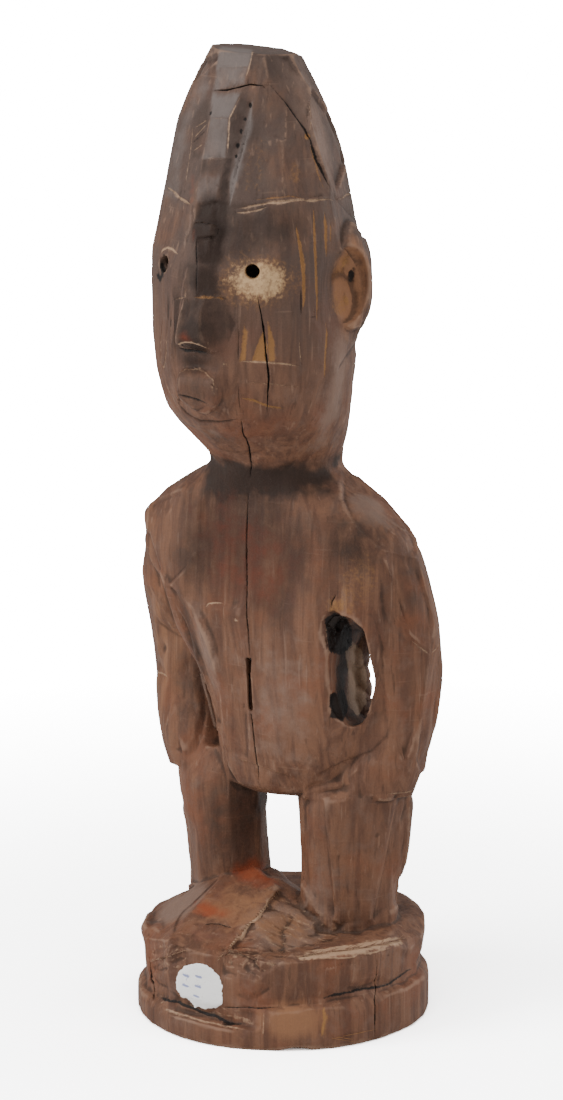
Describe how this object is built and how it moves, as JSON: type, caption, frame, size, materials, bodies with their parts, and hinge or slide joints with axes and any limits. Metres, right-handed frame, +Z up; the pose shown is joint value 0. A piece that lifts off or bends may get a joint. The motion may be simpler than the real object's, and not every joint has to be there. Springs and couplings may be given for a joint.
{
  "type": "ibeji statue",
  "caption": "Carved wooden twin figure with a tall tapered coiffure, bored eyes and short legs, standing on a round stepped base cut from the same log.",
  "frame": {"origin": "on the underside of the round base, at the centre of its circle", "axes": "+Z up along the figure, -Y the way the face looks, +X the figure's left"},
  "size_m": [0.0952, 0.0899, 0.2796],
  "materials": {
    "carved_wood": "old hand-rubbed patina on adzed wood, dark on the head, warm brown on the legs and base, satin to matte"
  },
  "bodies": {
    "root": {"ibeji_figure": "carved_wood"}
  },
  "joints": []
}
